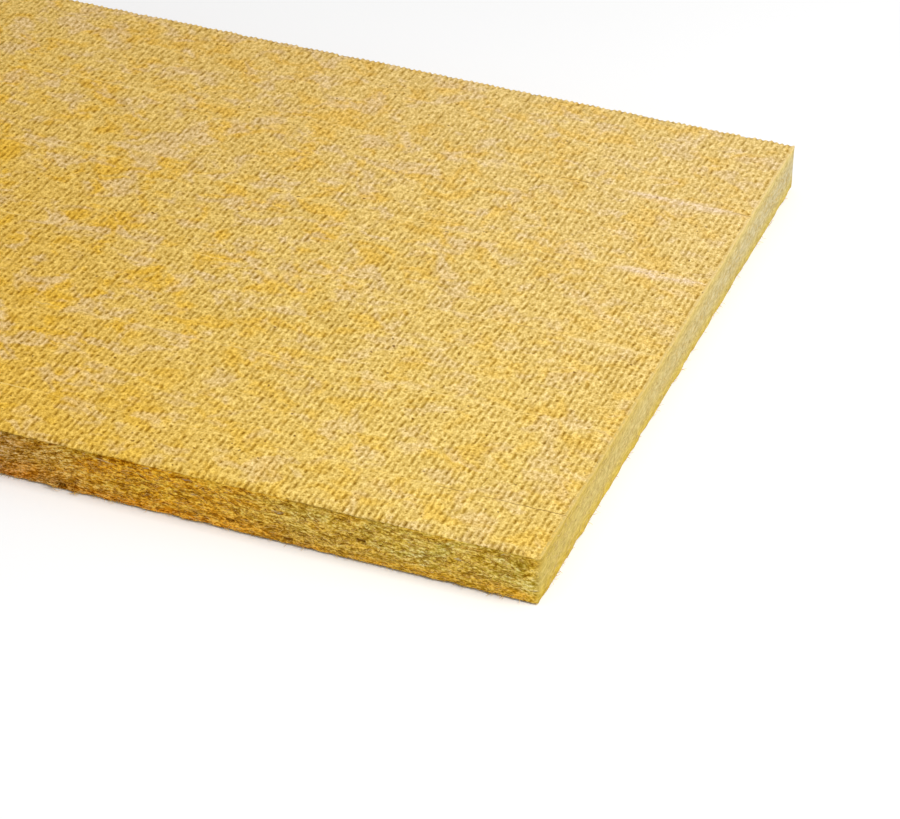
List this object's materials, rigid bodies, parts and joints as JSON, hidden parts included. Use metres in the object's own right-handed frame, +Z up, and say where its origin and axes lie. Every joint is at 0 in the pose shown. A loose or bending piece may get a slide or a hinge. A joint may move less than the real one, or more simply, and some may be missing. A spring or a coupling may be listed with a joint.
{
  "type": "mineral wool insulation slab",
  "caption": "Flat rigid slab of felted mineral wool with belt-pressed faces and sawn edges, laid or butted to insulate floors, roofs and walls.",
  "frame": {"origin": "centre of the underside, where the slab lies on the floor", "axes": "+X along the length, +Y across the width from the front long side to the back one, +Z up through the thickness"},
  "size_m": [1, 0.6, 0.04],
  "materials": {
    "mineral_wool": "matt felted fibre with a pressed belt imprint on both faces"
  },
  "bodies": {
    "root": {"slab": "mineral_wool"}
  },
  "joints": []
}
